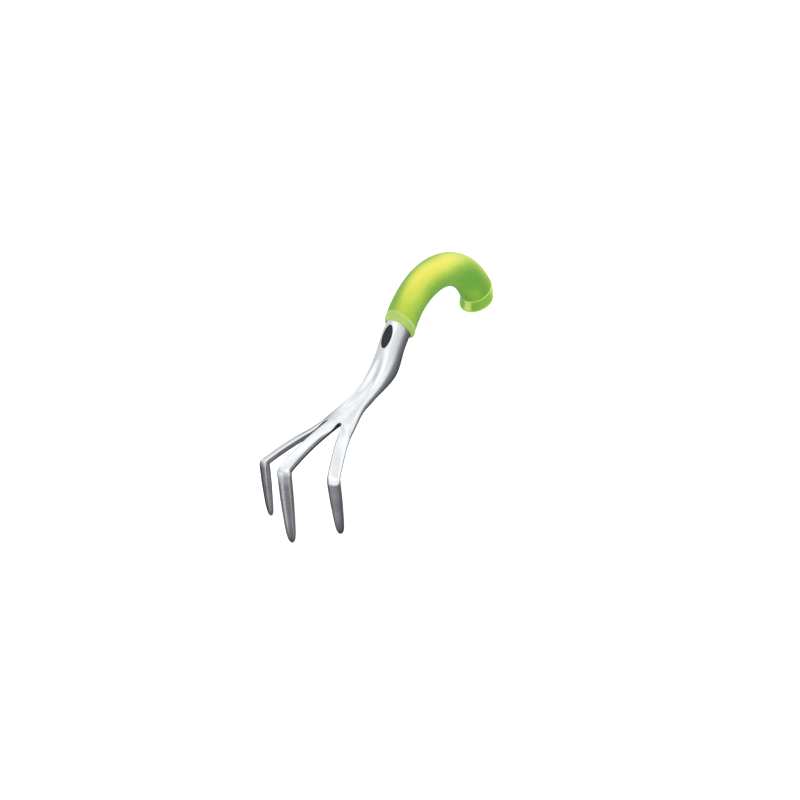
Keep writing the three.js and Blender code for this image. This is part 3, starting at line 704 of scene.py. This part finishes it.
def build_cap():
    n = 112
    axis = bend(180)
    hs = [r[0] for r in CAP][::-1]
    shift = pchip(hs, [r[1] for r in CAP][::-1])
    radius = pchip(hs, [r[2] for r in CAP][::-1])

    def ring(z, f, r, tilt, lift=0.0):
        out = []
        for i in range(n):
            a = 2 * math.pi * i / n
            p = V(f + r * math.cos(a), r * math.sin(a), z + lift)
            p[2] += (seam(p) - CAP_HEIGHT) * tilt
            out.append(p)
        return out

    rings = [ring(0, -0.6, r, 0) for r in (4.0, 9.0, 13.0, 14.75)]
    for z in (0.04, 0.1, 0.2, 0.35, 0.5, 0.75, 1.0, 1.5, 2.0, 2.6, 3.2, 4.0, 5.0, 6.0, 7.0, 8.0, 9.0, 9.8, 10.3):
        t = 0.4 * smooth((z - 4.4) / 2.0) + 0.35 * smooth((z - 6.4) / 2.2) + 0.25 * smooth((z - 8.6) / 2.3)
        rings.append(ring(z, shift(z), radius(z), t))
    for z, r in ((10.55, 14.96), (10.72, 14.88), (10.84, 14.72), (10.9, 14.5)):
        rings.append(ring(z, shift(z), r, 1.0))
    rings.append(ring(CAP_HEIGHT, axis["f"], 10.5, 1))
    rings.append(ring(CAP_HEIGHT, axis["f"], 3.8, 1))
    rings.append(ring(CAP_HEIGHT + 6.5, axis["f"], 3.6, 0))
    ob = rings_mesh("butt_cap", rings)
    painted_light = ob.data.attributes.new("painted_light", "FLOAT", "POINT")
    # painted light: lighter along the seam, a painted highlight streak down the inner side, a lit outer side and a
    # lighter bottom rim
    for v, g in zip(ob.data.vertices, painted_light.data):
        p = v.co * 1000
        x = p.x - (X_ORIGIN + 0.6)
        around = abs(math.degrees(math.atan2(abs(p.y), -x)) - 5)
        g.value = 0.55 * smooth((p.z - seam(p) + 1.5) / 0.9)
        g.value += 0.95 * math.exp(-((around / 11) ** 2)) * smooth((p.z - 1.0) / 2.0)
        g.value += 0.75 * smooth((x - 1) / 12) + 0.45 * (1 - smooth((p.z - 0.4) / 2.2))
    return ob


def build_badge():
    t0 = POCKET_DEPTH - 2 * GAP / 3 - ADHESIVE_T
    t1 = t0 - BADGE_T
    l, w = BADGE_L - 2 * GAP, BADGE_W - 2 * GAP
    return oval_prism("badge_face", l, w, (t0, t1 + 0.3, t1 + 0.12, t1 + 0.03, t1 - 0.04, t1 - 0.09, t1 - 0.12, t1 - 0.13),
                      grow=(0, 0, -0.08, -0.25, -0.8, -1.8, -3.0, -4.0))


# ------------------------------------------------------------------ materials
def mix(nt, a, b, fac, kind="MIX"):
    m = nt.nodes.new("ShaderNodeMix")
    m.data_type = "RGBA"
    m.blend_type = kind
    m.clamp_factor = True
    for sock, val in ((6, a), (7, b), (0, fac)):
        if hasattr(val, "is_output") or isinstance(val, bpy.types.NodeSocket):
            nt.links.new(val, m.inputs[sock])
        else:
            m.inputs[sock].default_value = val if sock == 0 else (*val, 1)
    return m.outputs[2]


def calc(nt, op, a, b=None, c=None, clamp=False):
    m = nt.nodes.new("ShaderNodeMath")
    m.operation = op
    m.use_clamp = clamp
    for i, val in enumerate((a, b, c)):
        if val is None:
            continue
        if isinstance(val, bpy.types.NodeSocket):
            nt.links.new(val, m.inputs[i])
        else:
            m.inputs[i].default_value = val
    return m.outputs[0]


def span(nt, value, a, b, c=0.0, d=1.0, smoothstep=True):
    m = nt.nodes.new("ShaderNodeMapRange")
    m.interpolation_type = "SMOOTHSTEP" if smoothstep else "LINEAR"
    nt.links.new(value, m.inputs[0])
    for i, v in enumerate((a, b, c, d)):
        m.inputs[i + 1].default_value = v
    return m.outputs[0]


def noise(nt, scale, detail=3.0, rough=0.5, stretch=None, distort=0.0):
    tc = nt.nodes.new("ShaderNodeTexCoord")
    out = tc.outputs["Object"]
    if stretch:
        mp = nt.nodes.new("ShaderNodeMapping")
        mp.inputs["Scale"].default_value = stretch
        nt.links.new(out, mp.inputs["Vector"])
        out = mp.outputs[0]
    n = nt.nodes.new("ShaderNodeTexNoise")
    n.inputs["Scale"].default_value = scale
    n.inputs["Detail"].default_value = detail
    n.inputs["Roughness"].default_value = rough
    n.inputs["Distortion"].default_value = distort
    nt.links.new(out, n.inputs["Vector"])
    return n.outputs["Fac"]


def attr(nt, name):
    a = nt.nodes.new("ShaderNodeAttribute")
    a.attribute_name = name
    return a.outputs["Fac"]


def bump(nt, height, strength, distance, normal=None):
    b = nt.nodes.new("ShaderNodeBump")
    b.inputs["Strength"].default_value = strength
    b.inputs["Distance"].default_value = distance
    nt.links.new(height, b.inputs["Height"])
    if normal is not None:
        nt.links.new(normal, b.inputs["Normal"])
    return b.outputs[0]


def material(name):
    m = bpy.data.materials.new(name)
    m.use_nodes = True
    nt = m.node_tree
    p = nt.nodes["Principled BSDF"]
    return m, nt, p


def metal_material():
    m, nt, p = material("cast_alloy")
    p.inputs["Metallic"].default_value = 1.0
    side, tip = attr(nt, "side"), attr(nt, "tip")
    cloud = noise(nt, 55, 3, 0.5)
    fine = noise(nt, 900, 4, 0.6)
    lines = noise(nt, 420, 3, 0.6, stretch=(0.06, 1.0, 1.0))
    # polished and clear-coated on top, darker as-cast skin down the sides and on the points; the dark marks also carry
    # painted shade, set differently along the neck and on each tine
    dark = calc(nt, "MAXIMUM", span(nt, side, 0.3, 0.75), tip)
    dark = calc(nt, "ADD", dark, span(nt, cloud, 0.3, 0.7, -0.06, 0.06), clamp=True)
    bright = mix(nt, (0.86, 0.88, 0.905), (0.93, 0.94, 0.955), cloud)
    deep = mix(nt, (0.29, 0.295, 0.315), (0.21, 0.215, 0.24), cloud)
    base = mix(nt, bright, deep, dark)
    # near-white tops: partly a polished finish, partly painted highlight, with painted reflection streaks on the points
    base = mix(nt, base, (0.98, 0.99, 1.0), calc(nt, "MULTIPLY", attr(nt, "polish_and_highlight"), span(nt, lines, 0.3, 0.6, 0.55, 1.0), clamp=True))
    # painted shade: the flanks of the points are darker still
    base = mix(nt, base, (0.14, 0.14, 0.15), calc(nt, "MULTIPLY", calc(nt, "MULTIPLY", tip, span(nt, side, 0.3, 1.1)), 0.85))
    # faint darker specks and scuffs where the points work the soil
    speck = span(nt, fine, 0.62, 0.72)
    worn = calc(nt, "MULTIPLY", speck, calc(nt, "MULTIPLY", tip, 0.5))
    base = mix(nt, base, (0.1, 0.1, 0.105), worn)
    nt.links.new(base, p.inputs["Base Color"])
    # dimmer reflections where the dark marks are set: partly as-cast skin, partly painted shade
    nt.links.new(mix(nt, (0.42, 0.43, 0.45), (0.12, 0.12, 0.13), calc(nt, "MULTIPLY", dark, 0.8)), p.inputs["Specular Tint"])
    rough = calc(nt, "ADD", span(nt, cloud, 0.3, 0.7, 0.16, 0.24), calc(nt, "MULTIPLY", dark, 0.12))
    rough = calc(nt, "ADD", rough, span(nt, lines, 0.35, 0.65, -0.025, 0.035))
    nt.links.new(rough, p.inputs["Roughness"])
    n1 = bump(nt, lines, 0.10, 0.00004)
    n2 = bump(nt, fine, 0.18, 0.00005, n1)
    nt.links.new(n2, p.inputs["Normal"])
    p.inputs["Coat Weight"].default_value = 0.25
    p.inputs["Coat Roughness"].default_value = 0.12
    return m


def grip_material(name, top, under, sss, rough, scatter):
    m, nt, p = material(name)
    cloud = noise(nt, 38, 3, 0.5)
    fine = noise(nt, 1500, 3, 0.55)
    grain = noise(nt, 4200, 2, 0.5)
    # translucent deeper green rubber with a painted yellow highlight band along the top, set by the mesh mark; the top
    # colour is the painted highlight's
    up = calc(nt, "ADD", attr(nt, "painted_light"), span(nt, cloud, 0.3, 0.7, -0.04, 0.04), clamp=True)
    base = mix(nt, under, tuple(0.45 * u + 0.55 * t + d for u, t, d in zip(under, top, (0.0, 0.06, -0.01))), span(nt, up, 0.0, 0.5, smoothstep=False))
    base = mix(nt, base, top, span(nt, up, 0.45, 1.0, smoothstep=False))
    # paler rim at the seam: partly thinner rubber, partly a painted highlight
    base = mix(nt, base, (0.52, 0.68, 0.20), calc(nt, "MULTIPLY", attr(nt, "pale"), 0.75))
    dull = mix(nt, base, (0.55, 0.6, 0.3), span(nt, fine, 0.6, 0.78, 0.0, 0.10))
    nt.links.new(dull, p.inputs["Base Color"])
    p.inputs["Subsurface Weight"].default_value = sss
    p.inputs["Subsurface Radius"].default_value = scatter
    p.inputs["Subsurface Scale"].default_value = 0.004
    r = calc(nt, "ADD", span(nt, cloud, 0.3, 0.7, rough - 0.03, rough + 0.05), span(nt, fine, 0.4, 0.7, -0.02, 0.04))
    nt.links.new(r, p.inputs["Roughness"])
    n1 = bump(nt, fine, 0.10, 0.00005)
    n2 = bump(nt, grain, 0.12, 0.00003, n1)
    nt.links.new(n2, p.inputs["Normal"])
    p.inputs["Specular IOR Level"].default_value = 0.75
    p.inputs["Specular Tint"].default_value = (1.0, 0.84, 0.32, 1.0)
    p.inputs["Sheen Weight"].default_value = 0.08
    p.inputs["Sheen Roughness"].default_value = 0.4
    return m


def badge_material():
    m, nt, p = material("badge_charcoal")
    cloud = noise(nt, 260, 3, 0.5)
    fine = noise(nt, 2600, 3, 0.5)
    nt.links.new(mix(nt, (0.012, 0.013, 0.015), (0.022, 0.024, 0.027), cloud), p.inputs["Base Color"])
    nt.links.new(span(nt, fine, 0.3, 0.7, 0.42, 0.54), p.inputs["Roughness"])
    p.inputs["Specular IOR Level"].default_value = 0.35
    nt.links.new(bump(nt, fine, 0.15, 0.00003), p.inputs["Normal"])
    return m


def plain_material(name, a, b, r0, r1):
    m, nt, p = material(name)
    cloud = noise(nt, 300, 3, 0.5)
    nt.links.new(mix(nt, a, b, cloud), p.inputs["Base Color"])
    nt.links.new(span(nt, cloud, 0.3, 0.7, r0, r1), p.inputs["Roughness"])
    nt.links.new(bump(nt, cloud, 0.1, 0.00004), p.inputs["Normal"])
    return m


def give(ob, mat):
    ob.data.materials.clear()
    ob.data.materials.append(mat)
    for poly in ob.data.polygons:
        poly.material_index = 0


head = build_head()
sleeve = build_sleeve()
collar = build_collar()
cap = build_cap()
badge = build_badge()

give(head, metal_material())
# the first colour of each grip material is its painted highlight, the second its own green
give(sleeve, grip_material("grip_elastomer", (0.78, 0.72, 0.12), (0.118, 0.35, 0.03), 0.2, 0.4, (0.9, 1.0, 0.15)))
give(collar, grip_material("collar_elastomer", (0.60, 0.72, 0.26), (0.29, 0.47, 0.10), 0.3, 0.36, (0.9, 1.0, 0.25)))
give(cap, grip_material("cap_elastomer", (0.68, 0.80, 0.22), (0.20, 0.44, 0.055), 0.3, 0.34, (0.9, 1.0, 0.25)))
give(badge, badge_material())

for piece, node, slot in (
    (head, "cultivator_head", "cast_metal"),
    (sleeve, "grip_sleeve", "grip"),
    (collar, "front_collar", "trim"),
    (cap, "end_cap", "trim"),
    (badge, "badge_plate", "badge"),
):
    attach(piece, "root")
    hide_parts(node)

core = plain_material("core_plastic", (0.04, 0.042, 0.045), (0.06, 0.062, 0.066), 0.5, 0.65)
film = plain_material("bond_film", (0.78, 0.77, 0.70), (0.84, 0.83, 0.78), 0.6, 0.8)
for node, mat in (("core_left", core), ("core_right", core), ("badge_adhesive", film)):
    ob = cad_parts[node]
    if not ob.material_slots:
        ob.data.materials.append(mat)
    for slot in ob.material_slots:
        slot.link = "OBJECT"
        slot.material = mat

# ------------------------------------------------------------------ stage, light and camera
def stage():
    """A wide round floor."""
    n = 128
    profile = [(0.0, 0.0)] + [(r, 0.0) for r in (0.4, 1.0, 2.0, 4.0, 8.0, 16.0, 30.0)]
    bm = bmesh.new()
    rings = []
    for r, z in profile[1:]:
        rings.append([bm.verts.new((r * math.cos(2 * math.pi * i / n), r * math.sin(2 * math.pi * i / n), z)) for i in range(n)])
    c = bm.verts.new((0, 0, 0))
    for i in range(n):
        bm.faces.new((c, rings[0][i], rings[0][(i + 1) % n]))
    for a, b in zip(rings, rings[1:]):
        for i in range(n):
            j = (i + 1) % n
            bm.faces.new((a[i], b[i], b[j], a[j]))
    for f in bm.faces:
        f.smooth = True
    me = bpy.data.meshes.new("studio_floor")
    bm.to_mesh(me)
    bm.free()
    ob = bpy.data.objects.new("studio_floor", me)
    bpy.context.scene.collection.objects.link(ob)
    m, nt, p = material("floor_white")
    p.inputs["Base Color"].default_value = (0.93, 0.93, 0.93, 1)
    p.inputs["Roughness"].default_value = 0.9
    p.inputs["Specular IOR Level"].default_value = 0.0
    p.inputs["Emission Color"].default_value = (1, 1, 1, 1)
    p.inputs["Emission Strength"].default_value = 0.5
    me.materials.append(m)
    ob.visible_glossy = False


stage()


def area(name, at, to, size, power, color=(1, 1, 1), shape="RECTANGLE", size_y=None):
    d = bpy.data.lights.new(name, "AREA")
    d.shape = shape
    d.size = size
    if size_y:
        d.size_y = size_y
    d.energy = power
    d.color = color
    ob = bpy.data.objects.new(name, d)
    ob.location = at
    ob.rotation_euler = (Vector(to) - Vector(at)).to_track_quat("-Z", "Y").to_euler()
    ob.visible_camera = False
    bpy.context.scene.collection.objects.link(ob)
    return ob


def toward(az, el):
    a, e = rad(az), rad(el)
    return Vector((math.sin(a) * math.cos(e), -math.cos(a) * math.cos(e), math.sin(e)))


MIDDLE = Vector((0, 0, 0.05))
key = area("key_soft", MIDDLE + toward(100, 53) * 2.0, MIDDLE, 1.5, 9, (1.0, 0.97, 0.92), size_y=1.5)
key.visible_glossy = False

# pale surroundings: brightest at eye level, softer overhead, dark underneath
world = bpy.data.worlds.new("studio")
bpy.context.scene.world = world
world.use_nodes = True
wn = world.node_tree
bg = wn.nodes["Background"]
tc = wn.nodes.new("ShaderNodeTexCoord")
sep = wn.nodes.new("ShaderNodeSeparateXYZ")
wn.links.new(tc.outputs["Generated"], sep.inputs[0])
ramp = wn.nodes.new("ShaderNodeFloatCurve")
wn.links.new(calc(wn, "MULTIPLY_ADD", sep.outputs[2], 0.5, 0.5), ramp.inputs["Value"])
curve = ramp.mapping.curves[0]
SKY = ((-1.0, 0.15), (-0.83, 0.16), (-0.58, 0.25), (-0.3, 0.6), (0.0, 0.93), (0.3, 0.98), (0.45, 1.12), (0.56, 1.04), (0.66, 0.84), (0.8, 1.22), (1.0, 1.25))
curve.points[0].location = (0.0, SKY[0][1])
curve.points[1].location = (1.0, SKY[-1][1])
for z, y in SKY[1:-1]:
    curve.points.new(0.5 * (z + 1), y)
ramp.mapping.update()
aside = wn.nodes.new("ShaderNodeVectorMath")
aside.operation = "DOT_PRODUCT"
wn.links.new(tc.outputs["Generated"], aside.inputs[0])
aside.inputs[1].default_value = Vector((-0.12, 0.88, 0.46)).normalized()
shade = span(wn, aside.outputs["Value"], 0.8, 1.0, 1.0, 0.68)
wn.links.new(calc(wn, "MULTIPLY", ramp.outputs[0], shade), bg.inputs["Strength"])
bg.inputs["Color"].default_value = (0.97, 0.985, 1.0, 1)

AZ, EL, ROLL = rad(-41.6), rad(41.4), rad(22.3)
MM_PER_PX = 0.879
LENS = 800.0
back = Vector((math.sin(AZ) * math.cos(EL), -math.cos(AZ) * math.cos(EL), math.sin(EL)))
right = Vector((math.cos(AZ), math.sin(AZ), 0))
up = back.cross(right)
cam_right = right * math.cos(ROLL) - up * math.sin(ROLL)
cam_up = right * math.sin(ROLL) + up * math.cos(ROLL)
target = Vector((X_ORIGIN - 127.8, 0, 0.65)) * 0.001
distance = 0.8 * MM_PER_PX * LENS / 36.0
cam = bpy.data.objects.new("camera", bpy.data.cameras.new("camera"))
cam.data.lens = LENS
cam.data.sensor_width = 36.0
cam.data.clip_end = 100.0
m = Matrix((cam_right, cam_up, back)).transposed().to_4x4()
m.translation = target + back * distance
cam.matrix_world = m
bpy.context.scene.collection.objects.link(cam)
bpy.context.scene.camera = cam
bpy.context.scene.view_settings.view_transform = "Standard"
